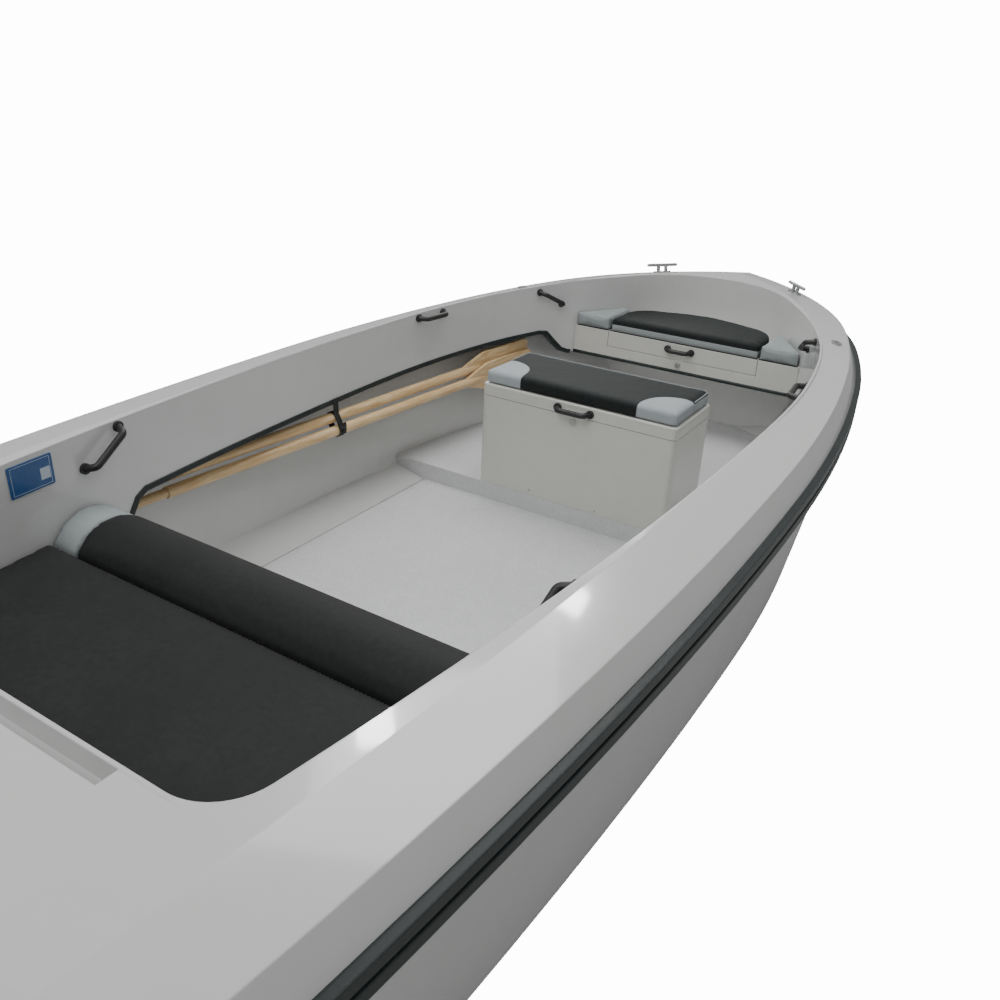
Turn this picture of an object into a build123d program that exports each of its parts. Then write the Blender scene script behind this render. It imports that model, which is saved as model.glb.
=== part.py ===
"""Open motorboat with a seat box, bow and stern benches, oars and an outboard motor.

The origin lies on the waterline, on the centre line, near the middle of the boat.
X runs forward to the bow, Y to port and Z up. All sizes are millimetres.
"""
import os
from math import cos, radians, sin, tan

from build123d import *

os.makedirs("parts", exist_ok=True)

# Hull, seen from above
stern_x = -2255
stem_x = 2250
half_beam = 917
beam_x = -150
transom_half = half_beam - 145
shoulder = (805, half_beam - 75)
bow_turn = (1345, half_beam - 202)

# Hull sides at the level of hull_low_z, deadrise and forefoot
hull_low_z = -150
low_half_beam = half_beam - 114
low_transom_half = transom_half - 102
low_shoulder = (760, shoulder[1] - 117)
low_bow_turn = (1230, bow_turn[1] - 160)
low_stem_x = 1750
deadrise = 12
forefoot_x = 850
forefoot_radius = 1900

# Sheer, transom and laminate
sheer_height = 666
sheer_rise = 0.0178
rail_drop = 95
transom_rake = 10
transom_thickness = 40
side_cut_z = 40
foredeck_cut_x = 1600
bottom_cuts = (345, 850, 1345, 1700)
side_cuts = (-1200, -300, 500, 900, 1250, 1500, 1700, 1900)
gunwale_cuts = (-1200, -600, 0, 500, 900, 1250)
foredeck_cuts = (1720, 1850, 2050)
corner_radius = 60
hull_skin = 10
deck_skin = 8

# Gunwale section
band_inset = 35
crease_drop = 27
top_width = 140

# Cockpit edge, seen from above
cockpit_aft_x = -1803
cockpit_beam_x = 200
cockpit_half = half_beam - 163
cockpit_aft_half = transom_half - 182
cockpit_corner = 110
cockpit_bow = (
    (845, half_beam - 223), (1345, half_beam - 391),
    (1640, half_beam - 562), (1785, half_beam - 712),
)
cockpit_nose_x = 1843

# Floor, platform and bulkhead
keel_z = -140
floor_z = 10
platform_z = 80
riser_x = 345
sole_thickness = 15
bulkhead_x = 1600
panel_thickness = 12

# Stern bench
bench_z = 355
bench_front_x = -1044
seat_seam_x = -1249
roll_front_x = -1016
roll_end_length = 95
cushion_thickness = 50
cushion_gap = 3
wall_gap = 6

# Seat box
box_length = 328
box_half_width = 390
box_wall = 12
box_seam_z = 435
box_top_z = 482
box_corner = 18
lid_gap = 2
lid_skin = 8

# Slot across the aft deck
slot_width = 37
slot_half = 410
slot_depth = 45

# Bow seat
bow_seat_x = 1345
bow_seat_z = 485
bow_seat_low_z = 358
bow_lid_half = 350
bow_lid_low_z = 415
bow_lid_aft_bend = 1490
bow_lid_turn = (1640, 250)
bow_lid_tip_x = 1705
bow_hinge_x = 1706
barrel_radius = 3
bow_ledge = 15

# Rub rail and pocket edging
rub_top_drop = 90
rub_height = 60
rub_bead = 24
rub_stand_out = 18
rub_groove = 7
edging_width = 18
edging_cover = 3

# Grab handles: place along the wall, height, slope along the wall
handle_length = 165
handle_stand_off = 45
handle_bar = 20
grab_handles = (
    ("aft", -1050, 590, 33),
    ("middle", 490, 650, 0),
    ("forward", 1200, 623, -26),
)

# Oars in the port side pocket
oar_shaft = 38
oar_aft = (-925, half_beam - 117)
oar_forward = (1150, half_beam - 267)
oar_heights = (332, 376)
oar_blade_length = 470
oar_blade_width = 120
oar_blade_thickness = 14
oar_grip_length = 130
oar_neck_length = 140
oar_side_step = 22
strap_x = -75
strap_width = 25
strap_thickness = 3
strap_tail = 75

# Deck fittings
cleat_x = 1853
cleat_y = half_beam - 590
cleat_bar_length = 165
cleat_height = 34
cleat_bar = 8
cleat_heading = 40
socket_x = 1117
socket_y = half_beam - 226
socket_bore = 13
socket_depth = 45
socket_tube = 22
eye_bore = 16
plate_x = -1262
side_plate_z = 588
plate_length = 125
plate_height = 82
plate_thickness = 2

# Motor well and motor
well_front_x = cockpit_aft_x - 112
well_half = 290
well_floor_z = 300
transom_top_z = 388
tilt_axis_z = 420
tilt_axis_out = 52
swivel_out = 62
cowl_length = 330
cowl_width = 270
cowl_low_z = 500
cowl_reach = 105
cowl_top_z = 740
plate_drop = 30
prop_radius = 120
prop_bore = 14
motor_pin = 16

running_gap = 0.3


def sheer_z(x):
    """Height of the gunwale's inner edge at length x."""
    return sheer_height + sheer_rise * x


sheer = Plane((0, 0, sheer_height), x_dir=(1, 0, sheer_rise), z_dir=(-sheer_rise, 0, 1))
centre_plane = Plane((0, 0, 0), x_dir=(1, 0, 0), z_dir=(0, -1, 0))
transom_top = sheer_z(stern_x) - rail_drop
rake = tan(radians(transom_rake))
transom_plane = Plane((stern_x, 0, transom_top), x_dir=(0, 1, 0), z_dir=(1, 0, rake))
transom_inside = transom_plane.offset(transom_thickness)


def transom_x(z):
    """Length of the transom's outer face at height z."""
    return stern_x + (transom_top - z) * rake


# Outlines from above, the port half of each run from aft to bow
with BuildLine() as rail_half:
    TangentArc((beam_x, half_beam), (stern_x, transom_half), tangent=(-1, 0))
    run = TangentArc((beam_x, half_beam), shoulder, tangent=(1, 0))
    run = TangentArc(shoulder, bow_turn, tangent=run % 1)
    TangentArc(bow_turn, (stem_x, 0), tangent=run % 1)

with BuildLine() as cockpit_side:
    TangentArc((cockpit_beam_x, cockpit_half), (cockpit_aft_x, cockpit_aft_half), tangent=(-1, 0))
    run = TangentArc((cockpit_beam_x, cockpit_half), cockpit_bow[0], tangent=(1, 0))
    for start, end in zip(cockpit_bow, cockpit_bow[1:]):
        run = TangentArc(start, end, tangent=run % 1)

with BuildLine() as low_half:
    TangentArc((beam_x, low_half_beam), (stern_x, low_transom_half), tangent=(-1, 0))
    run = TangentArc((beam_x, low_half_beam), low_shoulder, tangent=(1, 0))
    run = TangentArc(low_shoulder, low_bow_turn, tangent=run % 1)
    TangentArc(low_bow_turn, (low_stem_x, 0), tangent=run % 1)

rail_wire = Wire(rail_half.edges())
cockpit_wire = Wire(cockpit_side.edges())


def station(wire, x):
    """Point and direction of a half outline at length x."""
    aft, fore = (0.0, 1.0) if (wire @ 0).X < (wire @ 1).X else (1.0, 0.0)
    for _ in range(40):
        middle = (aft + fore) / 2
        if (wire @ middle).X < x:
            aft = middle
        else:
            fore = middle
    direction = wire % middle
    return wire @ middle, direction if direction.X > 0 else -direction


with BuildSketch() as rail_outline:
    with BuildLine():
        add(rail_half.line)
        mirror(about=Plane.XZ)
        Line((stern_x, transom_half), (stern_x, -transom_half))
    make_face()

with BuildSketch() as low_outline:
    with BuildLine():
        add(low_half.line)
        mirror(about=Plane.XZ)
        Line((stern_x, low_transom_half), (stern_x, -low_transom_half))
    make_face()

with BuildSketch() as cockpit_outline:
    with BuildLine():
        add(cockpit_side.line)
        mirror(about=Plane.XZ)
        Line((cockpit_aft_x, cockpit_aft_half), (cockpit_aft_x, -cockpit_aft_half))
        nose = cockpit_bow[-1]
        ThreePointArc(nose, (cockpit_nose_x, 0), (nose[0], -nose[1]))
    make_face()
    fillet(cockpit_outline.vertices().group_by(Axis.X)[0], radius=cockpit_corner)


def outline_at(outline, drop, grow=0):
    """An outline laid on the sheer plane, lowered by drop and grown or shrunk."""
    with BuildSketch(sheer.offset(-drop)) as laid:
        add(outline.sketch)
        if grow:
            offset(amount=grow, kind=Kind.INTERSECTION)
    return laid.sketch


def column(outline, low, high, grow=0):
    """The upright prism of an outline between two heights."""
    with BuildPart() as prism:
        with BuildSketch(Plane.XY.offset(low)):
            add(outline.sketch)
            if grow:
                offset(amount=grow, kind=Kind.INTERSECTION)
        extrude(amount=high - low)
    return prism.part


def hull_body(skin):
    """The hull's form, moved in from the outer form by a skin thickness."""
    with BuildSketch(Plane.XY.offset(hull_low_z)) as foot:
        add(low_outline.sketch)
        if skin:
            offset(amount=-skin, kind=Kind.INTERSECTION)
    with BuildPart() as body:
        loft(sections=[foot.sketch.face(), outline_at(rail_outline, rail_drop, -skin).face()],
             ruled=True)
    keel = keel_z + skin
    rise = tan(radians(deadrise)) * 2 * half_beam
    with BuildLine(centre_plane) as keel_line:
        straight = Line((2 * stern_x, keel), (forefoot_x, keel))
        JernArc(straight @ 1, (1, 0), forefoot_radius - skin, 70)
    with BuildPart() as below_keel:
        with BuildSketch(Plane((2 * stern_x, 0, keel), x_dir=(0, 1, 0), z_dir=(1, 0, 0))):
            with BuildLine():
                Polyline((0, 0), (2 * half_beam, rise), (2 * half_beam, -half_beam),
                         (-2 * half_beam, -half_beam), (-2 * half_beam, rise), close=True)
            make_face()
        sweep(path=keel_line.line)
    return body.part - below_keel.part


with BuildSketch() as rounded_outline:
    add(rail_outline.sketch)
    fillet(rounded_outline.vertices().group_by(Axis.X)[0], radius=corner_radius)
corner_column = column(rounded_outline, 2 * keel_z, 2 * sheer_height)

hull_space = split(hull_body(hull_skin), transom_inside, keep=Keep.TOP)
hull_form = split(hull_body(0), transom_plane, keep=Keep.TOP) & corner_column

with BuildPart() as transom_notch:
    with Locations((stern_x, 0, transom_top_z)):
        Box(10 * transom_thickness, 2 * well_half, sheer_height,
            align=(Align.CENTER, Align.CENTER, Align.MIN))

with BuildPart() as hull_shell:
    add(hull_form)
    add(hull_space, mode=Mode.SUBTRACT)
    add(transom_notch.part, mode=Mode.SUBTRACT)

# Deck moulding: gunwale, decks and the inner wall that hangs from the cockpit edge
wall_foot = (
    (2 * stern_x, bench_z), (bench_front_x, bench_z), (bench_front_x, 317), (-1016, 317),
    (-957, 403), (-925, 420), (1150, 470), (1190, 464), (1274, 378), (1313, 361),
    (bow_seat_x, bow_seat_low_z), (2 * stem_x, bow_seat_low_z),
)
cockpit_column = column(cockpit_outline, 2 * keel_z, 2 * sheer_height)

with BuildPart() as below_walls:
    with BuildSketch(centre_plane) as below:
        with BuildLine():
            Polyline(*wall_foot, (2 * stem_x, 2 * keel_z), (2 * stern_x, 2 * keel_z), close=True)
        make_face()
    extrude(amount=2 * half_beam, both=True)

with BuildPart() as gunwale_form:
    loft(sections=[
        outline_at(rail_outline, rail_drop).face(),
        outline_at(rail_outline, crease_drop, -band_inset).face(),
        outline_at(rail_outline, 0, -band_inset - top_width).face(),
    ], ruled=True)

with BuildPart() as gunwale_space:
    loft(sections=[
        outline_at(rail_outline, rail_drop + 1, -hull_skin).face(),
        outline_at(rail_outline, crease_drop + deck_skin, -band_inset - deck_skin).face(),
        outline_at(rail_outline, deck_skin, -band_inset - top_width - deck_skin).face(),
    ], ruled=True)

wall_depth = sheer_height - bench_z + rail_drop
with BuildPart() as wall_ring:
    add(column(cockpit_outline, 0, 2 * sheer_height, deck_skin))
    add(cockpit_column, mode=Mode.SUBTRACT)
    split(bisect_by=sheer.offset(-deck_skin / 2), keep=Keep.BOTTOM)
    add(below_walls.part, mode=Mode.SUBTRACT)


def deck_place(x, y, heading):
    """Place on top of the deck moulding, its X turned to a heading from the bow."""
    post = gunwale_form.part & Edge.make_line((x, y, 0), (x, y, 2 * sheer_height))
    point = Vector(x, y, post.bounding_box().max.Z)
    top = gunwale_form.faces().sort_by_distance(point)[0]
    ahead = Vector(cos(radians(heading)), sin(radians(heading)), 0)
    normal = top.normal_at(point)
    return Plane(point + normal * running_gap, x_dir=ahead - normal * ahead.dot(normal), z_dir=normal)


slot_z = sheer_z(cockpit_aft_x)
slot_fore_x = cockpit_aft_x - deck_skin
slot_low_z = slot_z - slot_depth

with BuildPart() as deck_moulding:
    add(gunwale_form.part)
    add(gunwale_space.part, mode=Mode.SUBTRACT)
    add(wall_ring.part)
    with Locations((slot_fore_x, 0, slot_z - deck_skin / 2)):
        Box(slot_width + deck_skin, 2 * (slot_half + deck_skin), slot_depth + deck_skin / 2,
            align=(Align.MAX, Align.CENTER, Align.MAX))
    with Locations((slot_fore_x, 0, slot_low_z)):
        Box(slot_width, 2 * slot_half, sheer_height,
            align=(Align.MAX, Align.CENTER, Align.MIN), mode=Mode.SUBTRACT)
    add(cockpit_column, mode=Mode.SUBTRACT)
    with Locations((well_front_x, 0, 0)):
        Box(2 * transom_half, 2 * well_half, 2 * sheer_height,
            align=(Align.MAX, Align.CENTER, Align.MIN), mode=Mode.SUBTRACT)
    for side in (-1, 1):
        with Locations(deck_place(socket_x, side * socket_y, 0).location):
            Cylinder(socket_tube / 2 + running_gap, socket_depth, mode=Mode.SUBTRACT)
    add(corner_column, mode=Mode.INTERSECT)

# Floor moulding with its step up to the platform
with BuildPart() as sole:
    with BuildSketch(centre_plane):
        with BuildLine():
            Polyline((stern_x, floor_z), (riser_x, floor_z), (riser_x, platform_z),
                     (stem_x, platform_z), (stem_x, platform_z - sole_thickness),
                     (riser_x + sole_thickness, platform_z - sole_thickness),
                     (riser_x + sole_thickness, floor_z - sole_thickness),
                     (stern_x, floor_z - sole_thickness), close=True)
        make_face()
    extrude(amount=half_beam, both=True)
    add(hull_space, mode=Mode.INTERSECT)

# Bulkhead under the bow seat
with BuildPart() as bow_bulkhead:
    with Locations((bulkhead_x, 0, platform_z)):
        Box(panel_thickness, 2 * half_beam, bow_seat_low_z - platform_z,
            align=(Align.MIN, Align.CENTER, Align.MIN))
    add(hull_space, mode=Mode.INTERSECT)

# Stern bench: top panel and front panel
with BuildPart() as stern_bench:
    with BuildSketch(centre_plane):
        with BuildLine():
            Polyline((cockpit_aft_x - 2 * deck_skin, bench_z), (bench_front_x, bench_z),
                     (bench_front_x, floor_z), (bench_front_x - panel_thickness, floor_z),
                     (bench_front_x - panel_thickness, bench_z - panel_thickness),
                     (cockpit_aft_x - 2 * deck_skin, bench_z - panel_thickness), close=True)
        make_face()
    extrude(amount=half_beam, both=True)
    add(hull_space, mode=Mode.INTERSECT)

# Motor well: open tray hung between the deck and the transom
with BuildPart() as under_deck:
    add(gunwale_space.part)
    extrude(outline_at(rail_outline, rail_drop + 1, -hull_skin), amount=-half_beam)

with BuildPart() as motor_well:
    well_length = well_front_x - stern_x
    with Locations((well_front_x + deck_skin, 0, well_floor_z)):
        Box(well_length + deck_skin, 2 * (well_half + deck_skin), sheer_height,
            align=(Align.MAX, Align.CENTER, Align.MIN))
    with Locations((well_front_x, 0, well_floor_z + deck_skin)):
        Box(2 * well_length, 2 * well_half, sheer_height,
            align=(Align.MAX, Align.CENTER, Align.MIN), mode=Mode.SUBTRACT)
    add(under_deck.part, mode=Mode.INTERSECT)
    split(bisect_by=transom_inside, keep=Keep.TOP)

# Rub rail round the joint of hull and deck
rub_steps = (
    (0, rub_bead, rub_stand_out),
    (rub_bead, rub_height - rub_bead, rub_stand_out - rub_groove),
    (rub_height - rub_bead, rub_height, rub_stand_out),
)
with BuildPart() as rub_rail:
    for high, low, stand_out in rub_steps:
        with BuildSketch(sheer.offset(-rub_top_drop - high)):
            add(rounded_outline.sketch)
            offset(amount=stand_out, kind=Kind.INTERSECTION)
            add(offset(rounded_outline.sketch, amount=-rub_stand_out, kind=Kind.INTERSECTION,
                       mode=Mode.PRIVATE), mode=Mode.SUBTRACT)
        extrude(amount=high - low)
    add(hull_form, mode=Mode.SUBTRACT)
    add(gunwale_form.part & corner_column, mode=Mode.SUBTRACT)
    add(transom_notch.part, mode=Mode.SUBTRACT)

# Bow seat: front panel, top panel with the lid's opening, and locker tray
with BuildSketch() as bow_lid_outline:
    with BuildLine():
        side = Line((bow_seat_x, bow_lid_half), (bow_lid_aft_bend, bow_lid_half))
        run = TangentArc(side @ 1, bow_lid_turn, tangent=(1, 0))
        TangentArc(bow_lid_turn, (bow_lid_tip_x, 0), tangent=run % 1)
        mirror(about=Plane.XZ)
        Line((bow_seat_x, bow_lid_half), (bow_seat_x, -bow_lid_half))
    make_face()

hinge_half = 60
barrel_z = bow_seat_z - barrel_radius
with BuildPart() as hinge_notch:
    with Locations((bow_hinge_x, 0, bow_seat_z + 1)):
        Box(2 * barrel_radius + 4, 2 * hinge_half + 4, panel_thickness + 2,
            align=(Align.CENTER, Align.CENTER, Align.MAX))

seat_column = column(cockpit_outline, 2 * keel_z, 2 * sheer_height, -running_gap)
with BuildPart() as bow_seat:
    with BuildSketch(centre_plane):
        with BuildLine():
            Polyline((bow_seat_x, bow_seat_low_z), (bow_seat_x, bow_seat_z),
                     (stem_x, bow_seat_z), (stem_x, bow_seat_z - panel_thickness),
                     (bow_seat_x + panel_thickness, bow_seat_z - panel_thickness),
                     (bow_seat_x + panel_thickness, bow_seat_low_z), close=True)
        make_face()
    extrude(amount=half_beam, both=True)
    add(column(bow_lid_outline, bow_lid_low_z - lid_gap, 2 * bow_seat_z, lid_gap),
        mode=Mode.SUBTRACT)
    tray_aft = bow_seat_x + panel_thickness
    tray_length = bulkhead_x + panel_thickness - tray_aft
    with Locations((tray_aft, 0, bow_seat_low_z)):
        Box(tray_length, 2 * bow_lid_half,
            bow_seat_z - lid_skin - running_gap - bow_seat_low_z,
            align=(Align.MIN, Align.CENTER, Align.MIN))
    tray_half = bow_lid_half - bow_ledge
    with Locations((tray_aft, 0, bow_seat_low_z + deck_skin)):
        Box(tray_length - deck_skin, 2 * tray_half, bow_seat_z,
            align=(Align.MIN, Align.CENTER, Align.MIN), mode=Mode.SUBTRACT)
    add(seat_column, mode=Mode.INTERSECT)
    add(hinge_notch.part, mode=Mode.SUBTRACT)

# Black edging on the lower edge of the walls
with BuildPart() as pocket_edging:
    with BuildSketch(sheer):
        add(cockpit_outline.sketch)
        offset(amount=deck_skin + edging_cover, kind=Kind.INTERSECTION)
    extrude(amount=-wall_depth)
    add(column(cockpit_outline, 2 * keel_z, 2 * sheer_height, -edging_cover), mode=Mode.SUBTRACT)
    with BuildSketch(centre_plane):
        with BuildLine():
            Polyline(*wall_foot[3:-2], (bow_seat_x - edging_width, bow_seat_low_z + 2))
        trace(line_width=edging_width)
    extrude(amount=2 * half_beam, both=True, mode=Mode.INTERSECT)
    add(wall_ring.part, mode=Mode.SUBTRACT)
    add(bow_seat.part, mode=Mode.SUBTRACT)

with BuildPart() as bow_lid:
    add(column(bow_lid_outline, bow_lid_low_z, bow_seat_z))
    with Locations((bow_seat_x + lid_skin, 0, bow_lid_low_z)):
        Box(2 * stem_x, 2 * half_beam, bow_seat_z - lid_skin - bow_lid_low_z,
            align=(Align.MIN, Align.CENTER, Align.MIN), mode=Mode.SUBTRACT)
    add(hinge_notch.part, mode=Mode.SUBTRACT)

# Short hinge at the lid's forward tip: barrel, web and leaf
with BuildPart() as bow_lid_hinge:
    with Locations((bow_hinge_x, 0, barrel_z)):
        Cylinder(barrel_radius, 2 * hinge_half, rotation=(90, 0, 0))
        Box(barrel_radius, 2 * hinge_half, barrel_z - bow_seat_z + panel_thickness + 2,
            align=(Align.CENTER, Align.CENTER, Align.MAX))
    with Locations((bow_hinge_x, 0, bow_seat_z - panel_thickness - running_gap)):
        Box(26, 2 * hinge_half, 2, align=(Align.MIN, Align.CENTER, Align.MAX))

# Bow cushions: the middle rides on the lid, the two ends stay on the seat
bow_cushion_top = bow_seat_z + cushion_thickness + 12
with BuildPart() as bow_cushion_middle:
    add(column(bow_lid_outline, bow_seat_z + running_gap, bow_cushion_top, -cushion_gap))
    fillet(bow_cushion_middle.faces().sort_by(Axis.Z)[-1].edges(), radius=14)

end_column = column(cockpit_outline, bow_seat_z + running_gap, bow_cushion_top, -wall_gap)
with BuildPart() as bow_cushion_ends:
    add(end_column)
    with Locations((bow_seat_x, 0, 0)):
        Box(230, 4 * half_beam, 2 * sheer_height, align=(Align.MIN, Align.CENTER, Align.MIN),
            mode=Mode.INTERSECT)
    Box(4 * stem_x, 2 * (bow_lid_half + cushion_gap), 4 * sheer_height, mode=Mode.SUBTRACT)

# Stern cushion and its roll
with BuildPart() as stern_cushion:
    with Locations((cockpit_aft_x + wall_gap, 0, bench_z + running_gap)):
        Box(seat_seam_x - cockpit_aft_x - wall_gap, 2 * half_beam, cushion_thickness,
            align=(Align.MIN, Align.CENTER, Align.MIN))
    add(column(cockpit_outline, 0, sheer_height, -wall_gap), mode=Mode.INTERSECT)

roll_aft_x = seat_seam_x + cushion_gap
with BuildSketch(centre_plane) as roll_section:
    with BuildLine():
        Line((roll_aft_x, bench_z + running_gap), (roll_aft_x, bench_z + 40))
        ThreePointArc((roll_aft_x, bench_z + 40), (-1150, bench_z + 97), (roll_front_x, bench_z + 20))
        Line((roll_front_x, bench_z + 20), (roll_front_x, bench_z - 25))
        Line((roll_front_x, bench_z - 25), (bench_front_x + running_gap, bench_z - 25))
        Line((bench_front_x + running_gap, bench_z - 25),
             (bench_front_x + running_gap, bench_z + running_gap))
        Line((bench_front_x + running_gap, bench_z + running_gap),
             (roll_aft_x, bench_z + running_gap))
    make_face()

roll_half = station(cockpit_wire, seat_seam_x)[0].Y - wall_gap - roll_end_length
with BuildPart() as stern_roll:
    extrude(roll_section.sketch, amount=roll_half, both=True)

with BuildPart() as stern_roll_ends:
    extrude(roll_section.sketch, amount=half_beam, both=True)
    Box(-4 * seat_seam_x, 2 * (roll_half + cushion_gap), 4 * sheer_height, mode=Mode.SUBTRACT)
    add(column(cockpit_outline, 0, sheer_height, -wall_gap), mode=Mode.INTERSECT)

# Seat box with its hinged lid
box_x = riser_x + box_length / 2
with BuildPart() as seat_box:
    with BuildSketch(Plane.XY.offset(platform_z)):
        with Locations((box_x, 0)):
            RectangleRounded(box_length, 2 * box_half_width, box_corner)
    extrude(amount=box_seam_z - platform_z)
    with BuildSketch(Plane.XY.offset(platform_z + box_wall)):
        with Locations((box_x, 0)):
            RectangleRounded(box_length - 2 * box_wall, 2 * (box_half_width - box_wall),
                             box_corner - box_wall / 2)
    extrude(amount=box_seam_z, mode=Mode.SUBTRACT)

with BuildPart() as box_lid:
    with BuildSketch(Plane.XY.offset(box_seam_z + lid_gap)):
        with Locations((box_x, 0)):
            RectangleRounded(box_length, 2 * box_half_width, box_corner)
    extrude(amount=box_top_z - box_seam_z - lid_gap)
    fillet(box_lid.faces().sort_by(Axis.Z)[-1].edges(), radius=6)
    with BuildSketch(Plane.XY.offset(box_seam_z + lid_gap)):
        with Locations((box_x, 0)):
            RectangleRounded(box_length - 2 * lid_skin, 2 * (box_half_width - lid_skin),
                             box_corner - lid_skin)
    extrude(amount=box_top_z - box_seam_z - lid_gap - lid_skin, mode=Mode.SUBTRACT)

with BuildPart() as box_cushion:
    with BuildSketch(Plane.XY.offset(box_top_z + running_gap)):
        with Locations((box_x, 0)):
            RectangleRounded(box_length - 2 * cushion_gap, 2 * (box_half_width - cushion_gap),
                             box_corner)
    extrude(amount=cushion_thickness)
    fillet(box_cushion.faces().sort_by(Axis.Z)[-1].edges(), radius=14)

hinge_x = riser_x + box_length + 7
hinge_z = box_seam_z + lid_gap / 2
hinge_places = ((hinge_x, -250, hinge_z), (hinge_x, 250, hinge_z))
with BuildPart() as box_hinge_pins:
    with Locations(*hinge_places):
        Cylinder(2.5, 60, rotation=(90, 0, 0))
        Cylinder(5, 20, rotation=(90, 0, 0))
    with Locations(*[(riser_x + box_length + 1, y, hinge_z - 1) for _, y, _ in hinge_places]):
        Box(2, 60, 30, align=(Align.CENTER, Align.CENTER, Align.MAX))
    with Locations(*[(riser_x + box_length + 3, y, hinge_z - 3) for _, y, _ in hinge_places]):
        Box(4, 20, 4)

with BuildPart() as box_hinge_leaves:
    for side in (-1, 1):
        with Locations(*[(x - 3, y + side * 20.5, z + 5) for x, y, z in hinge_places]):
            Box(4, 19, 8)
        with Locations(*[(x, y + side * 20.5, z) for x, y, z in hinge_places]):
            Cylinder(5, 19, rotation=(90, 0, 0))
            Cylinder(2.5 + running_gap, 19, rotation=(90, 0, 0), mode=Mode.SUBTRACT)
    with Locations(*[(riser_x + box_length + 1, y, hinge_z + 6) for _, y, _ in hinge_places]):
        Box(2, 60, 26, align=(Align.CENTER, Align.CENTER, Align.MIN))


def bar_handle(plane, length):
    """Moulded grab handle that stands on a plane: two feet and a bar between them."""
    reach = length / 2 - handle_bar / 2
    rise = handle_stand_off - handle_bar / 2
    with BuildPart(plane) as handle:
        with BuildLine(plane * Plane.XZ) as path:
            FilletPolyline((-reach, 4), (-reach + 14, rise), (reach - 14, rise), (reach, 4),
                           radius=16)
        with BuildSketch(Plane(origin=path.line @ 0, z_dir=path.line % 0)):
            Circle(handle_bar / 2)
        sweep()
        with Locations((-reach, 0, 0), (reach, 0, 0)):
            Cylinder(handle_bar * 0.75, 8, align=(Align.CENTER, Align.CENTER, Align.MIN))
    return handle.part


def wall_plane(x, z, side, slope, reach):
    """Place on the cockpit wall across two points: Z points into the boat, X runs forward."""
    run = reach * cos(radians(slope))
    aft = station(cockpit_wire, x - run)[0]
    fore = station(cockpit_wire, x + run)[0]
    middle = (aft + fore) / 2
    along = Vector(fore.X - aft.X, side * (fore.Y - aft.Y), 0).normalized()
    inward = Vector(along.Y, -along.X, 0) * side
    climb = Vector(0, 0, 1) * sin(radians(slope))
    place = Plane((middle.X, side * middle.Y, z), x_dir=along * cos(radians(slope)) + climb,
                  z_dir=inward)
    return place.offset(running_gap)


handles = {
    "grab_handles_" + name: Compound(children=[
        bar_handle(wall_plane(x, z, side, slope, handle_length / 2), handle_length)
        for side in (1, -1)
    ])
    for name, x, z, slope in grab_handles
}

lip_plane = Plane((riser_x - running_gap, 0, (box_seam_z + box_top_z) / 2),
                  x_dir=(0, 1, 0), z_dir=(-1, 0, 0))
box_lid_handle = bar_handle(lip_plane, 150)
bow_plane = Plane((bow_seat_x - running_gap, 0, (bow_lid_low_z + bow_seat_z) / 2 + 8),
                  x_dir=(0, 1, 0), z_dir=(-1, 0, 0))
bow_lid_handle = bar_handle(bow_plane, 130)


def key_lock(x, z):
    """Round key lock set on a face that looks aft."""
    with BuildPart(Plane((x - running_gap, 0, z), x_dir=(0, 1, 0), z_dir=(-1, 0, 0))) as lock:
        Cylinder(13, 4, align=(Align.CENTER, Align.CENTER, Align.MIN))
        Cylinder(9, 6, align=(Align.CENTER, Align.CENTER, Align.MIN))
        fillet(lock.faces().sort_by(Axis.X)[0].edges(), radius=1)
        with Locations((0, 0, 6)):
            Box(2, 9, 4, mode=Mode.SUBTRACT)
    return lock.part


box_lock = key_lock(riser_x, box_seam_z - 22)
bow_lock = key_lock(bow_seat_x, bow_lid_low_z - 24)

# Cleats on the foredeck shoulders, along the cockpit edge
def cleat(side):
    """Horned cleat on two feet."""
    plane = deck_place(cleat_x, side * cleat_y, side * -cleat_heading)
    with BuildPart(plane) as fitting:
        with BuildSketch(plane):
            SlotOverall(cleat_bar_length * 0.55, 34)
        extrude(amount=5)
        with Locations((-20, 0, 0), (20, 0, 0)):
            Cylinder(9, cleat_height, align=(Align.CENTER, Align.CENTER, Align.MIN))
        horn = cleat_bar_length / 2 - cleat_bar
        with Locations((0, 0, cleat_height)):
            Cylinder(cleat_bar, 2 * horn, rotation=(0, 90, 0))
        with Locations((-horn, 0, cleat_height), (horn, 0, cleat_height)):
            Sphere(cleat_bar)
    return fitting.part


def oarlock_socket(side):
    """Oarlock socket sunk in the gunwale top: flange and tube with a blind bore."""
    plane = deck_place(socket_x, side * socket_y, 0)
    with BuildPart(plane) as socket:
        Cylinder(20, 6, align=(Align.CENTER, Align.CENTER, Align.MIN))
        Cylinder(socket_tube / 2, socket_depth - 6, align=(Align.CENTER, Align.CENTER, Align.MAX))
        with Locations((0, 0, 6)):
            Cylinder(socket_bore / 2, socket_depth - 6,
                     align=(Align.CENTER, Align.CENTER, Align.MAX), mode=Mode.SUBTRACT)
    return socket.part


cleats = {"cleats": Compound(children=[cleat(side) for side in (1, -1)])}
sockets = {"oarlock_sockets": Compound(children=[oarlock_socket(side) for side in (1, -1)])}

# Oars: round shaft, handle at the aft end and flat blade at the forward end
oar_run = Vector(oar_forward[0] - oar_aft[0], oar_forward[1] - oar_aft[1], 0)


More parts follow.
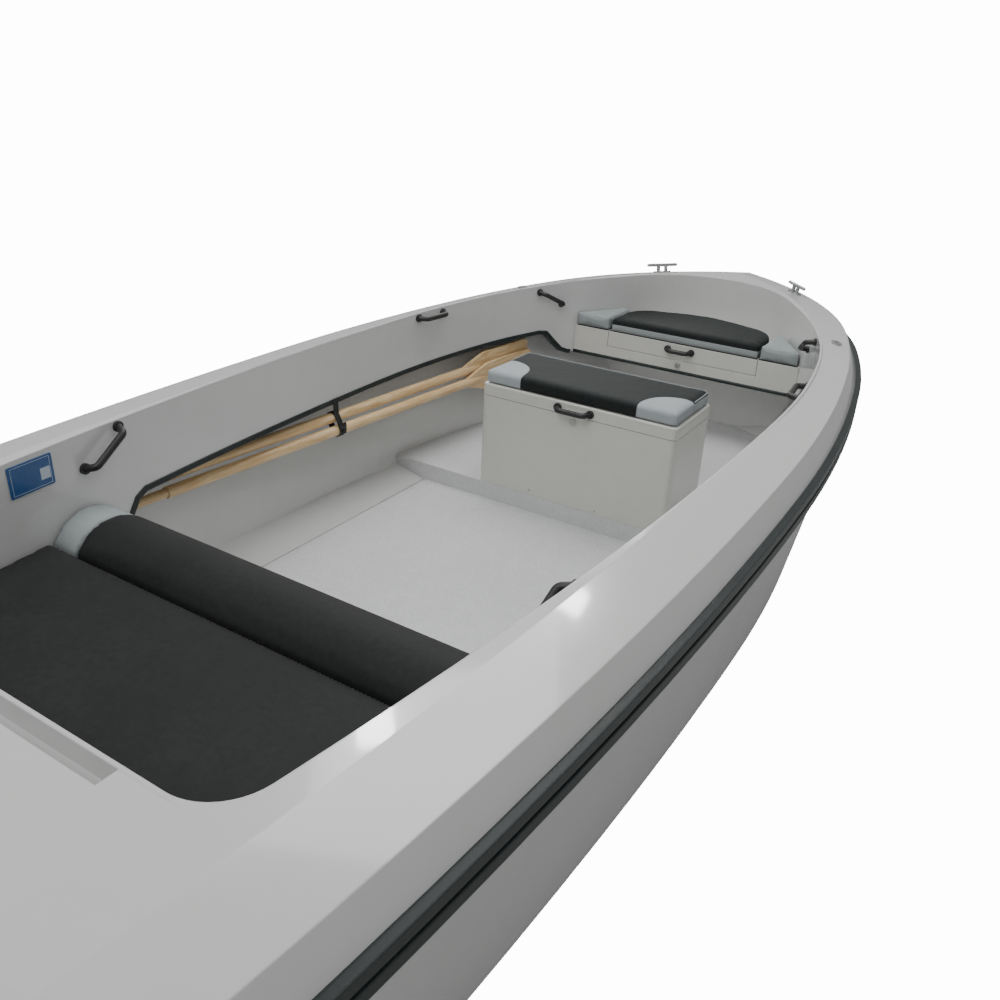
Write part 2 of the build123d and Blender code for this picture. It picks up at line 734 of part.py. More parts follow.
def oar(height, outward):
    """One wooden oar lying along the pocket at a height, moved outward by a distance."""
    start = (oar_aft[0], oar_aft[1] + outward, height)
    plane = Plane(start, x_dir=(0, 0, 1), z_dir=oar_run)
    length = oar_run.length
    neck = length - oar_blade_length
    half = oar_blade_width / 2
    with BuildPart(plane) as wood:
        Cylinder(oar_shaft / 2 - 4, oar_grip_length, align=(Align.CENTER, Align.CENTER, Align.MIN))
        with Locations((0, 0, oar_grip_length)):
            Cylinder(oar_shaft / 2, neck - oar_grip_length,
                     align=(Align.CENTER, Align.CENTER, Align.MIN))
        with Locations((0, 0, neck)):
            Cone(oar_shaft / 2, oar_blade_thickness / 2 + 1, oar_neck_length,
                 align=(Align.CENTER, Align.CENTER, Align.MIN))
        with BuildSketch(Plane(start, x_dir=plane.x_dir, z_dir=-plane.y_dir)):
            with BuildLine():
                Polyline((-oar_shaft / 2, neck), (-half, neck + oar_neck_length),
                         (-half, length - 20), (20 - half, length), (half - 20, length),
                         (half, length - 20), (half, neck + oar_neck_length),
                         (oar_shaft / 2, neck), close=True)
            make_face()
        extrude(amount=oar_blade_thickness / 2, both=True)
    return wood.part


oars = {"oar_lower": oar(oar_heights[0], 0), "oar_upper": oar(oar_heights[1], oar_side_step)}

# Strap that holds both oars up to the wall's edge, and its buckle
strap_share = (strap_x - oar_aft[0]) / (oar_forward[0] - oar_aft[0])
strap_y = oar_aft[1] + strap_share * (oar_forward[1] - oar_aft[1])
strap_room = oar_shaft / 2 + running_gap + strap_width / 2 * abs(oar_run.Y / oar_run.X)
wall_y = station(cockpit_wire, strap_x)[0].Y
strap_low = (strap_y, oar_heights[0])
strap_high = (strap_y + oar_side_step, oar_heights[1])
strap_plane = Plane((strap_x, 0, 0), x_dir=(0, 1, 0), z_dir=(1, 0, 0))
with BuildSketch(strap_plane) as strap_inside:
    with Locations(strap_low, strap_high):
        Circle(strap_room)
    make_hull()
with BuildPart() as oar_strap:
    with BuildSketch(strap_plane):
        with Locations(strap_low, strap_high):
            Circle(strap_room + strap_thickness)
        make_hull()
        with Locations((wall_y - edging_cover - running_gap, strap_high[1])):
            Rectangle(strap_thickness, strap_tail, align=(Align.MAX, Align.MIN))
        add(strap_inside.sketch_local, mode=Mode.SUBTRACT)
    extrude(amount=strap_width / 2, both=True)
with BuildPart() as strap_buckle:
    with Locations((strap_x, strap_y - strap_room - strap_thickness - running_gap, oar_heights[0] + 12)):
        Box(32, 6, 42, align=(Align.CENTER, Align.MAX, Align.CENTER))

# Blank plate on the port wall
with BuildPart() as side_plate:
    for cover, mode in ((running_gap, Mode.ADD), (running_gap + plate_thickness, Mode.SUBTRACT)):
        add(column(cockpit_outline, 0, 2 * sheer_height, -cover), mode=mode)
    with BuildSketch(centre_plane):
        with Locations((plate_x, side_plate_z)):
            RectangleRounded(plate_length, plate_height, 4)
    extrude(amount=-half_beam, mode=Mode.INTERSECT)

# Bow eye, stern eyes and drain plug
bow_eye_z = 300


def eye(plane):
    """Forged eye on a base plate, its ring standing up from the plane."""
    with BuildPart(plane) as fitting:
        with BuildSketch(plane):
            SlotOverall(70, 30)
        extrude(amount=5)
        with BuildSketch(Plane(plane.origin, x_dir=plane.x_dir, z_dir=-plane.y_dir)):
            with Locations((0, 22)):
                Circle(eye_bore / 2 + 9)
            with Locations((0, 11)):
                Rectangle(34, 22)
            with Locations((0, 22)):
                Circle(eye_bore / 2, mode=Mode.SUBTRACT)
        extrude(amount=6, both=True)
    return fitting.part


def stem_place(z):
    """Place on the stem line at height z, looking forward and square to the stem."""
    reach = 35
    ends = []
    for height in (z - reach, z, z + reach):
        ray = Edge.make_line((0, 0, height), (2 * stem_x, 0, height))
        ends.append((hull_form & ray).bounding_box().max.X)
    upward = Vector(ends[2] - ends[0], 0, 2 * reach)
    outward = Vector(upward.Z, 0, -upward.X).normalized()
    return Plane(Vector(ends[1], 0, z) + outward, x_dir=upward, z_dir=outward)


bow_eye = eye(stem_place(bow_eye_z))
stern_eye_z = 330
stern_eye_y = 480
stern_eyes = [
    eye(Plane((transom_x(stern_eye_z) - running_gap, side * stern_eye_y, stern_eye_z),
              x_dir=(-rake, 0, 1), z_dir=(-1, 0, -rake)))
    for side in (1, -1)
]
drain_z = 30
with BuildPart(Plane((transom_x(drain_z) - running_gap, 0, drain_z), x_dir=(0, 1, 0),
                     z_dir=(-1, 0, -rake))) as drain_plug:
    Cylinder(22, 5, align=(Align.CENTER, Align.CENTER, Align.MIN))
    Cylinder(13, 14, align=(Align.CENTER, Align.CENTER, Align.MIN))

# Motor clamp on the transom, with the tilt pin
inside_run = transom_thickness / cos(radians(transom_rake))
pivot_x = transom_x(transom_top_z) - tilt_axis_out
swivel_x = pivot_x - swivel_out
plate_z = keel_z - plate_drop
prop_z = plate_z - prop_radius - 20
clamp_low_z = 240
clamp_half = 62
clamp_plate = 10
top_clear = transom_top_z + running_gap
inner_x = transom_x(transom_top_z) + inside_run + running_gap
with BuildPart() as motor_clamp:
    with BuildSketch(centre_plane):
        with BuildLine():
            Polyline((transom_x(clamp_low_z) - running_gap, clamp_low_z),
                     (transom_x(transom_top_z) - running_gap, top_clear),
                     (inner_x + 12, top_clear), (inner_x + 20, transom_top_z - 50),
                     (inner_x + 36, transom_top_z - 50), (inner_x + 30, transom_top_z + 14),
                     (pivot_x + 24, tilt_axis_z + 16), (pivot_x - 4, tilt_axis_z + 20),
                     (pivot_x - 20, tilt_axis_z), (pivot_x - 8, tilt_axis_z - 40),
                     (transom_x(clamp_low_z) - 34, clamp_low_z), close=True)
        make_face()
    extrude(amount=clamp_half, both=True)
    with Locations((0, 0, 0)):
        Box(-4 * stern_x, 2 * (clamp_half - clamp_plate), 4 * sheer_height, mode=Mode.SUBTRACT)
    with Locations((pivot_x, 0, tilt_axis_z)):
        Cylinder(motor_pin / 2, 2 * clamp_half + 16, rotation=(90, 0, 0))
    with Locations((transom_x(clamp_low_z) - 20, 0, clamp_low_z + 18)):
        Cylinder(6, 2 * clamp_half, rotation=(90, 0, 0))
    screw_z = transom_top_z - 35
    screw_x = transom_x(screw_z) + inside_run + 14 * rake + running_gap
    with Locations(*[(screw_x, side * (clamp_half - clamp_plate / 2), screw_z) for side in (-1, 1)]):
        Cylinder(6, 60, rotation=(0, 90, 0), align=(Align.CENTER, Align.CENTER, Align.MIN))
        Cylinder(14, 5, rotation=(0, 90, 0), align=(Align.CENTER, Align.CENTER, Align.MIN))

# Swivel bracket that tilts on the pin
tube_radius = 26
king_pin = 15
with BuildPart() as motor_swivel:
    with Locations((swivel_x, 0, tilt_axis_z - 20)):
        Cylinder(tube_radius, 230, align=(Align.CENTER, Align.CENTER, Align.MAX))
    with Locations((pivot_x, 0, tilt_axis_z)):
        Cylinder(18, 2 * (clamp_half - clamp_plate) - 4, rotation=(90, 0, 0))
    with BuildSketch(centre_plane):
        with BuildLine():
            Polyline((pivot_x, tilt_axis_z + 14), (swivel_x, tilt_axis_z - 14),
                     (swivel_x, tilt_axis_z - 110), (pivot_x - 6, tilt_axis_z - 17), close=True)
        make_face()
    extrude(amount=24, both=True)
    with Locations((swivel_x, 0, tilt_axis_z)):
        Cylinder(tube_radius, 20, align=(Align.CENTER, Align.CENTER, Align.MAX))
        Cylinder(king_pin + running_gap, 800, mode=Mode.SUBTRACT)
    with Locations((pivot_x, 0, tilt_axis_z)):
        Cylinder(motor_pin / 2 + running_gap, 400, rotation=(90, 0, 0), mode=Mode.SUBTRACT)

# Steered leg: king pin with its two yokes, and the housing down to the plate
leg_x = swivel_x - 105
tube_low_z = tilt_axis_z - 250
leg_sections = (
    (cowl_low_z, 190, 100),
    (cowl_low_z - 90, 130, 80),
    (plate_z + 140, 120, 52),
    (plate_z, 150, 40),
)
with BuildPart() as motor_leg:
    for z, length, width in leg_sections:
        with BuildSketch(Plane((leg_x, 0, z))):
            Ellipse(length / 2, width / 2)
    loft(ruled=True)
    with Locations((swivel_x, 0, tilt_axis_z + 30)):
        Cylinder(king_pin, 30 + tilt_axis_z - tube_low_z + 26,
                 align=(Align.CENTER, Align.CENTER, Align.MAX))
    for low in (tilt_axis_z + 1, tube_low_z - 26):
        with BuildSketch(Plane.XY.offset(low)):
            with Locations((swivel_x, 0), (leg_x, 0)):
                Circle(24)
            make_hull()
        extrude(amount=25)
    with BuildSketch(Plane.XY.offset(plate_z)):
        with Locations((leg_x - 35, 0)):
            Ellipse(165, 75)
    extrude(amount=-5)
    with BuildSketch(Plane.XY.offset(tilt_axis_z + 26)):
        with Locations((swivel_x + 20, 0)):
            SlotOverall(90, 26)
    extrude(amount=8)

# Gear housing below the plate: strut, torpedo and skeg
with BuildPart() as motor_gearcase:
    with BuildSketch(Plane.XY.offset(plate_z - 5)):
        with Locations((leg_x, 0)):
            Ellipse(75, 20)
    with BuildSketch(Plane.XY.offset(prop_z)):
        with Locations((leg_x - 5, 0)):
            Ellipse(75, 18)
    loft(ruled=True)
    with BuildSketch(centre_plane):
        with BuildLine():
            Line((leg_x - 110, prop_z), (leg_x + 150, prop_z))
            Spline((leg_x + 150, prop_z), (leg_x + 110, prop_z + 28), (leg_x + 30, prop_z + 38),
                   (leg_x - 110, prop_z + 30), tangents=((0, 1), (-1, -0.1)))
            Line((leg_x - 110, prop_z + 30), (leg_x - 110, prop_z))
        make_face()
    revolve(axis=Axis((0, 0, prop_z), (1, 0, 0)))
    with BuildSketch(centre_plane):
        with BuildLine():
            Polyline((leg_x + 60, prop_z), (leg_x - 80, prop_z), (leg_x - 100, prop_z - 110),
                     (leg_x - 40, prop_z - 110), close=True)
        make_face()
    extrude(amount=5, both=True)
    with Locations((leg_x - 110, 0, prop_z)):
        Cylinder(prop_bore / 2, 75, rotation=(0, -90, 0), align=(Align.CENTER, Align.CENTER, Align.MIN))

# Propeller: hub with three twisted blades
hub_length = 62
hub_radius = 28
blade_count = 3
prop_x = leg_x - 113
with BuildPart() as propeller:
    with Locations((prop_x, 0, prop_z)):
        Cylinder(hub_radius, hub_length, rotation=(0, -90, 0),
                 align=(Align.CENTER, Align.CENTER, Align.MIN))
    for turn in range(blade_count):
        spin = turn * 360 / blade_count
        middle = Location((prop_x - hub_length / 2, 0, prop_z), (spin, 0, 0))
        with BuildPart(mode=Mode.PRIVATE) as blade:
            for reach, width, pitch in ((hub_radius - 8, 50, 55), (70, 92, 35), (prop_radius, 40, 24)):
                with BuildSketch(Plane.XY.offset(reach)):
                    Ellipse(width / 2, 3, rotation=90 - pitch)
            loft()
        add(blade.part.moved(middle))
    with Locations((prop_x, 0, prop_z)):
        Cylinder(prop_bore / 2 + running_gap, 4 * hub_length, rotation=(0, 90, 0),
                 mode=Mode.SUBTRACT)

# Cowl over the engine
with BuildPart() as motor_cowl:
    cowl_x = swivel_x - cowl_length / 2 + cowl_reach
    for z, length, width in ((cowl_low_z, cowl_length - 30, cowl_width - 30),
                             (cowl_low_z + 60, cowl_length, cowl_width),
                             (cowl_top_z - 50, cowl_length - 30, cowl_width - 40)):
        with BuildSketch(Plane((cowl_x, 0, z))):
            RectangleRounded(length, width, 55)
    loft(ruled=True)
    with BuildSketch(Plane((cowl_x, 0, cowl_top_z - 50))):
        RectangleRounded(cowl_length - 30, cowl_width - 40, 55)
    extrude(amount=50, taper=25)


def slab(low_x, high_x, low_y, high_y, low_z, high_z):
    """Box between two corners."""
    return Pos(low_x, low_y, low_z) * Box(high_x - low_x, high_y - low_y, high_z - low_z,
                                          align=Align.MIN)


far = 2 * stem_x


def bays(*panels, cuts=()):
    """Panels cut at the centre line and into short bays, so that each solid is nearly flat."""
    ends = (-far, *cuts, far)
    found = []
    for panel in panels:
        for aft, fore in zip(ends, ends[1:]):
            for low_y, high_y in ((-far, 0), (0, far)):
                bay = panel & slab(aft, fore, low_y, high_y, -far, far)
                found += bay.solids() if bay else []
    return Compound(children=found)


# The hull and deck are laid up as one moulding each, and are kept here as their panels
aft_cut = cockpit_aft_x - deck_skin
wall_column = column(cockpit_outline, -far, far, 2 * deck_skin)
transom = split(hull_shell.part, transom_inside, keep=Keep.BOTTOM)
skin_part = split(hull_shell.part, transom_inside, keep=Keep.TOP)
deck_nose = deck_moulding.part & slab(foredeck_cut_x, far, -far, far, -far, far)
panels = {
    "transom": transom,
    "hull_bottom": bays(skin_part & slab(-far, far, -far, far, -far, side_cut_z), cuts=bottom_cuts),
    "aft_deck": deck_moulding.part & slab(-far, aft_cut, -far, far, -far, far),
    "foredeck": bays(deck_nose - wall_column, deck_nose & wall_column, cuts=foredeck_cuts),
}
deck_sides = deck_moulding.part & slab(aft_cut, foredeck_cut_x, -far, far, -far, far)
for name, low_y, high_y in (("port", 0, far), ("starboard", -far, 0)):
    hull_side = skin_part & slab(-far, far, low_y, high_y, side_cut_z, far)
    side_panel = deck_sides & slab(-far, far, low_y, high_y, -far, far)
    panels["hull_side_" + name] = bays(hull_side, cuts=side_cuts)
    panels["gunwale_" + name] = bays(side_panel - wall_column, cuts=gunwale_cuts)
    panels["inner_wall_" + name] = bays(side_panel & wall_column, cuts=gunwale_cuts)

pieces = {
    "sole": sole.part,
    "bow_bulkhead": bow_bulkhead.part, "stern_bench": stern_bench.part,
    "motor_well": motor_well.part, "rub_rail": rub_rail.part,
    "pocket_edging": pocket_edging.part, "bow_seat": bow_seat.part, "bow_lid": bow_lid.part,
    "bow_lid_hinge": bow_lid_hinge.part, "bow_cushion_middle": bow_cushion_middle.part,
    "bow_cushion_ends": bow_cushion_ends.part, "stern_cushion": stern_cushion.part,
    "stern_roll": stern_roll.part, "stern_roll_ends": stern_roll_ends.part,
    "seat_box": seat_box.part, "box_lid": box_lid.part, "box_cushion": box_cushion.part,
    "box_hinge_pins": box_hinge_pins.part, "box_hinge_leaves": box_hinge_leaves.part,
    "box_lid_handle": box_lid_handle, "bow_lid_handle": bow_lid_handle,
    "box_lock": box_lock, "bow_lock": bow_lock, "oar_strap": oar_strap.part,
    "strap_buckle": strap_buckle.part, "side_plate": side_plate.part, "bow_eye": bow_eye,
    "stern_eyes": Compound(children=stern_eyes), "drain_plug": drain_plug.part,
    "motor_clamp": motor_clamp.part, "motor_swivel": motor_swivel.part,
    "motor_leg": motor_leg.part, "motor_gearcase": motor_gearcase.part,
    "propeller": propeller.part, "motor_cowl": motor_cowl.part,
}
pieces |= panels | handles | cleats | sockets | oars
for name, piece in pieces.items():
    piece.label = name
    export_step(piece, "parts/" + name + ".step")
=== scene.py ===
"""Looks of the open motorboat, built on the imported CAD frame. Metres, +X to the bow, +Y to port, +Z up."""

import math

import bmesh
import bpy
import numpy as np
from mathutils import Matrix, Vector
from mathutils.bvhtree import BVHTree


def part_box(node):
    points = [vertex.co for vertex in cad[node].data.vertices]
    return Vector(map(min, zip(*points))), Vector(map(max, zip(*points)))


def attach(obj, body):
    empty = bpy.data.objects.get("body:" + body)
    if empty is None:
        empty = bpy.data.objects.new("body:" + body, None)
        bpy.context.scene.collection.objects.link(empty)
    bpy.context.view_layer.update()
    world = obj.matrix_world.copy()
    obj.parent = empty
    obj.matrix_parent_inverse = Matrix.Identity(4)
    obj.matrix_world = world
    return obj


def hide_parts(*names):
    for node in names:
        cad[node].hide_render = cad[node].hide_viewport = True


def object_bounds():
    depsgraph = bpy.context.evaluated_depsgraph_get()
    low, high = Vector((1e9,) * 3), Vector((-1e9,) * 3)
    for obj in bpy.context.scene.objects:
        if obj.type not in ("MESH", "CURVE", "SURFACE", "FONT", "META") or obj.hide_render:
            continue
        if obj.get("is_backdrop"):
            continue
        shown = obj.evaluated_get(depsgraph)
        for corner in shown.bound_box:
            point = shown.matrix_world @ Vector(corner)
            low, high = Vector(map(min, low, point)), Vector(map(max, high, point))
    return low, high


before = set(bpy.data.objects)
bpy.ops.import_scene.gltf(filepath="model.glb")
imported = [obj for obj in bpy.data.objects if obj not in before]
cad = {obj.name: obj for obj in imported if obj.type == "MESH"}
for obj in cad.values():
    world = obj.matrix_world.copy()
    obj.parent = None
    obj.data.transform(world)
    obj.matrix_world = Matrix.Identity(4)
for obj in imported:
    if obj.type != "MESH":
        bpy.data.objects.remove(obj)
cad_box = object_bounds()
scene = bpy.context.scene


# Camera: solved from the photograph's long lines. It stands over the starboard quarter, about 1.5 m
# above the water, looks forward and down, and leans a little.
yaw, pitch, roll = math.radians(30.95), math.radians(25.57), math.radians(2.89)
standpoint = Vector((-2.354, -1.330, 1.526))
forward = Vector((math.cos(yaw) * math.cos(pitch), math.sin(yaw) * math.cos(pitch), -math.sin(pitch)))
level = forward.cross(Vector((0, 0, 1))).normalized()
lift = level.cross(forward)
right = level * math.cos(roll) + lift * math.sin(roll)
up = lift * math.cos(roll) - level * math.sin(roll)
lens = bpy.data.cameras.new("camera")
lens.lens = 31.97
lens.sensor_width = 36
lens.clip_start = 0.02
camera = bpy.data.objects.new("camera", lens)
camera.matrix_world = Matrix.Translation(standpoint) @ Matrix((right, up, -forward)).transposed().to_4x4()
scene.collection.objects.link(camera)
scene.camera = camera


# Stage: a pale floor at the waterline in a white room, under large soft lamps. Floor and room give
# the boat little light and still look white to the camera, like the photograph's plain background.
floor_glow = 0.06
room_glow = 0.44
background_glow = 14.0


def put(tree, kind, values=None, **settings):
    """Adds a shader node. Values go to inputs by name or number; a socket is linked, a number is set."""
    made = tree.nodes.new("ShaderNode" + kind)
    for key, value in settings.items():
        setattr(made, key, value)
    for key, value in (values or {}).items():
        if isinstance(value, bpy.types.NodeSocket):
            tree.links.new(value, made.inputs[key])
        else:
            made.inputs[key].default_value = value
    return made


def white_to_camera(tree, glow, strength):
    """Gives a strength socket a dim glow, and the background's glow where the camera sees it."""
    seen = put(tree, "LightPath").outputs["Is Camera Ray"]
    chosen = put(tree, "MapRange", {0: seen, 3: glow, 4: background_glow})
    tree.links.new(chosen.outputs[0], strength)


def new_mesh(name, form, smooth=True):
    """Puts a bmesh into a new object in the scene."""
    mesh = bpy.data.meshes.new(name)
    form.to_mesh(mesh)
    form.free()
    if smooth:
        mesh.polygons.foreach_set("use_smooth", [True] * len(mesh.polygons))
    made = bpy.data.objects.new(name, mesh)
    scene.collection.objects.link(made)
    return made


def soft_lamp(name, place, back, size, power):
    """A square lamp at a place. Its back points one way and it shines the other."""
    data = bpy.data.lights.new(name, "AREA")
    data.size = size
    data.energy = power
    lamp = bpy.data.objects.new(name, data)
    lamp.matrix_world = Matrix.Translation(place) @ back.to_track_quat("Z", "Y").to_matrix().to_4x4()
    scene.collection.objects.link(lamp)


form = bmesh.new()
bmesh.ops.create_grid(form, x_segments=8, y_segments=8, size=14)
floor = new_mesh("floor", form)
floor_paint = bpy.data.materials.new("floor_white")
floor_paint.use_nodes = True
shader = floor_paint.node_tree.nodes["Principled BSDF"]
shader.inputs["Base Color"].default_value = (0.42, 0.42, 0.42, 1)
shader.inputs["Roughness"].default_value = 0.9
shader.inputs["Emission Color"].default_value = (1, 1, 1, 1)
white_to_camera(floor_paint.node_tree, floor_glow, shader.inputs["Emission Strength"])
floor.data.materials.append(floor_paint)
floor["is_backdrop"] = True

world = bpy.data.worlds.new("room")
world.use_nodes = True
background = world.node_tree.nodes["Background"]
background.inputs["Color"].default_value = (1, 1, 1, 1)
white_to_camera(world.node_tree, room_glow, background.inputs["Strength"])
scene.world = world

lamps = (
    ("overhead", (0.9, 0.5, 3.8), (0.2, 0, 0), 2.4, 72),
    ("bow_side", (4.5, 2.4, 3.0), (0.6, 0, 0.3), 2.0, 55),
    ("stern_high", (-3.2, 0.5, 4.2), (0.9, 0.1, 0.3), 2.4, 84),
    ("starboard_side", (-0.5, -2.4, 4.6), (0.4, 0.4, 0.4), 1.2, 14),
)
for name, place, aim, size, power in lamps:
    soft_lamp(name, place, Vector(place) - Vector(aim), size, power)


# Hull: one moulding of glass laminate laid up in a mould, under gelcoat, a hard glossy skin with faint
# cloudiness and a slight ripple. The CAD keeps it as panels, joined here into the one skin that shows.
def group(name, inputs, outputs):
    """A new node group with its input and output nodes."""
    made = bpy.data.node_groups.new(name, "ShaderNodeTree")
    for socket, kind in inputs:
        made.interface.new_socket(socket, in_out="INPUT", socket_type="NodeSocket" + kind)
    for socket, kind in outputs:
        made.interface.new_socket(socket, in_out="OUTPUT", socket_type="NodeSocket" + kind)
    return made, made.nodes.new("NodeGroupInput").outputs, made.nodes.new("NodeGroupOutput").inputs


def clouds():
    """Group: two colours mixed by slow and fast noise, and a roughness that follows."""
    made, given, out = group(
        "clouds", (("Colour", "Color"), ("Other", "Color"), ("Scale", "Float"), ("Rough", "Float")),
        (("Colour", "Color"), ("Rough", "Float")))
    place = put(made, "TexCoord").outputs["Object"]
    slow = put(made, "TexNoise", {"Vector": place, "Scale": given["Scale"], "Detail": 4.0})
    fast = put(made, "Math", {0: given["Scale"], 1: 14.0}, operation="MULTIPLY")
    fine = put(made, "TexNoise", {"Vector": place, "Scale": fast.outputs[0], "Detail": 3.0})
    both = put(made, "Math", {0: slow.outputs[0], 1: fine.outputs[0]}, operation="MULTIPLY")
    mask = put(made, "MapRange", {0: both.outputs[0], 1: 0.15, 2: 0.38})
    mixed = put(made, "Mix", {0: mask.outputs[0], 6: given["Colour"], 7: given["Other"]}, data_type="RGBA")
    spread = put(made, "Math", {0: mask.outputs[0], 1: 0.03, 2: given["Rough"]}, operation="MULTIPLY_ADD")
    made.links.new(mixed.outputs[2], out["Colour"])
    made.links.new(spread.outputs[0], out["Rough"])
    return made


def edges():
    """Group: a normal rounded over the edges, and a mask of where the edges are."""
    made, given, out = group("edges", (("Radius", "Float"),), (("Normal", "Vector"), ("Edge", "Float")))
    bevel = put(made, "Bevel", {"Radius": given["Radius"]}, samples=6)
    flat = put(made, "NewGeometry").outputs["Normal"]
    dot = put(made, "VectorMath", {0: bevel.outputs[0], 1: flat}, operation="DOT_PRODUCT")
    edge = put(made, "MapRange", {0: dot.outputs["Value"], 1: 0.995, 2: 0.8, 3: 0.0, 4: 1.0})
    made.links.new(bevel.outputs[0], out["Normal"])
    made.links.new(edge.outputs[0], out["Edge"])
    return made


clouds_group = clouds()
edges_group = edges()


def finish_of(name, colour, other, scale, rough, radius, edge_colour, **constants):
    """A material with clouded colour and worn edges. Constants are set on the shader itself.

    Returns the material with its sockets for the rounded normal and the colour.
    """
    made = bpy.data.materials.new(name)
    made.use_nodes = True
    tree = made.node_tree
    shader = tree.nodes["Principled BSDF"]
    cloud = put(tree, "Group", node_tree=clouds_group)
    for key, value in (("Colour", (*colour, 1)), ("Other", (*other, 1)), ("Scale", scale), ("Rough", rough)):
        cloud.inputs[key].default_value = value
    edge = put(tree, "Group", node_tree=edges_group)
    edge.inputs["Radius"].default_value = radius
    worn = put(tree, "Mix", {0: edge.outputs["Edge"], 6: cloud.outputs["Colour"], 7: (*edge_colour, 1)},
               data_type="RGBA")
    tree.links.new(worn.outputs[2], shader.inputs["Base Color"])
    tree.links.new(cloud.outputs["Rough"], shader.inputs["Roughness"])
    tree.links.new(edge.outputs["Normal"], shader.inputs["Normal"])
    for key, value in constants.items():
        shader.inputs[key.replace("_", " ")].default_value = value
    return made, edge.outputs["Normal"], worn.outputs[2]


def coloured(material, colour):
    """Feeds a colour to the material's shader."""
    tree = material.node_tree
    tree.links.new(colour, tree.nodes["Principled BSDF"].inputs["Base Color"])


def bumped(material, normal, height, strength, distance):
    """Lays a height over a normal, feeds it to the material's shader and returns it."""
    tree = material.node_tree
    bump = put(tree, "Bump", {"Height": height, "Normal": normal, "Strength": strength,
                              "Distance": distance})
    tree.links.new(bump.outputs[0], tree.nodes["Principled BSDF"].inputs["Normal"])
    return bump.outputs[0]


def dress(node, material):
    """Gives a CAD node its one material."""
    cad[node].data.materials.clear()
    cad[node].data.materials.append(material)


gelcoat, normal, _ = finish_of(
    "gelcoat", (0.59, 0.595, 0.59), (0.575, 0.58, 0.57), 1.3, 0.2, 0.006, (0.68, 0.685, 0.68),
    Coat_Weight=0.7, Coat_Roughness=0.06, Specular_IOR_Level=0.5)
tree = gelcoat.node_tree
place = put(tree, "TexCoord").outputs["Object"]
ripple = put(tree, "TexNoise", {"Vector": place, "Scale": 22.0, "Detail": 1.0})
bumped(gelcoat, normal, ripple.outputs[0], 0.05, 0.004)
dress("transom", gelcoat)


def moulding(name, nodes, material):
    """One skin from the panels of a moulding. The faces where two panels meet are taken out."""
    touching, facing_back = 0.0003, -0.9
    spots, corners, normals = [], [], []
    for node in nodes:
        mesh = cad[node].data
        first = sum(len(part) for part in spots)
        place, turned = np.zeros(3 * len(mesh.vertices)), np.zeros(3 * len(mesh.loops))
        mesh.vertices.foreach_get("co", place)
        mesh.corner_normals.foreach_get("vector", turned)
        spots.append(place.reshape(-1, 3))
        normals.append(turned.reshape(-1, 3))
        corners += [[first + v for v in face.vertices] for face in mesh.polygons]
    spots, normals = np.vstack(spots), np.vstack(normals)
    near = BVHTree.FromPolygons(spots.tolist(), corners)

    def meets(spot, facing):
        found = near.find_nearest_range(spot, touching)
        return any(other.dot(facing) < facing_back for _, other, _, _ in found)

    welded, index = np.unique(spots.round(5), axis=0, return_inverse=True)
    index = index.ravel()
    kept, kept_normals, at = [], [], 0
    for face in corners:
        a, b, c = (Vector(spots[v]) for v in face[:3])
        facing = (b - a).cross(c - a).normalized()
        new_face = [int(index[v]) for v in face]
        whole = len(set(new_face)) == len(face)
        if whole and not all(meets(spot, facing) for spot in ((a + b + c) / 3, a, b, c)):
            kept.append(new_face)
            kept_normals += normals[at:at + len(face)].tolist()
        at += len(face)
    mesh = bpy.data.meshes.new(name)
    mesh.from_pydata(welded.tolist(), [], kept)
    mesh.polygons.foreach_set("use_smooth", [True] * len(kept))
    mesh.normals_split_custom_set(kept_normals)
    skin = bpy.data.objects.new(name, mesh)
    scene.collection.objects.link(skin)
    mesh.materials.append(material)
    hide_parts(*nodes)
    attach(skin, "root")
    return skin


moulding("hull_skin", ("hull_bottom", "hull_side_port", "hull_side_starboard"), gelcoat)


# Deck moulding: decks, gunwales and cockpit walls in the same gelcoat, again one laminate, bonded to
# the hull along the rub rail. Two small lamps stand where its starboard gunwale mirrors them to the
# camera, as lamps in a hall do.
deck = moulding("deck_skin", ("aft_deck", "foredeck", "gunwale_port", "gunwale_starboard",
                              "inner_wall_port", "inner_wall_starboard"), gelcoat)


def surface_of(obj):
    """Search tree of an object's mesh, in the row frame."""
    return BVHTree.FromPolygons([obj.matrix_world @ v.co for v in obj.data.vertices],
                                [p.vertices[:] for p in obj.data.polygons])


lamp_distance = 3.6
view_scale = lens.lens / lens.sensor_width
surface = surface_of(deck)
glints = (
    ("glint_middle", 0.072, 0.1, 0.16, 5),
    ("glint_aft", -0.125, 0.226, 0.2, 7),
)
for name, across, down, size, power in glints:
    sight = (forward * view_scale + right * across - up * down).normalized()
    spot, facing, _, _ = surface.ray_cast(standpoint, sight)
    bounce = sight - 2 * sight.dot(facing) * facing
    soft_lamp(name, spot + lamp_distance * bounce, bounce, size, power)


# Loose laminate panels: bench, bulkhead and motor well are bonded into the hull. The bow seat, the
# seat box and their lids are mouldings of their own. They wear a copy of the gelcoat with painted
# shade in it: a little darker and warmer, the olive tint that faces turned aft take on in the light.
for node in ("bow_bulkhead", "stern_bench", "motor_well"):
    dress(node, gelcoat)
# Painted shade: the gelcoat's colours made a little darker and warmer, standing for the light on aft faces.
painted_shade_gelcoat, _, _ = finish_of(
    "gelcoat_painted_warm_shade", (0.575, 0.575, 0.535), (0.555, 0.555, 0.515), 1.7, 0.24, 0.006, (0.66, 0.66, 0.63),
    Coat_Weight=0.6, Coat_Roughness=0.08)
for node in ("bow_seat", "bow_lid", "seat_box", "box_lid"):
    dress(node, painted_shade_gelcoat)


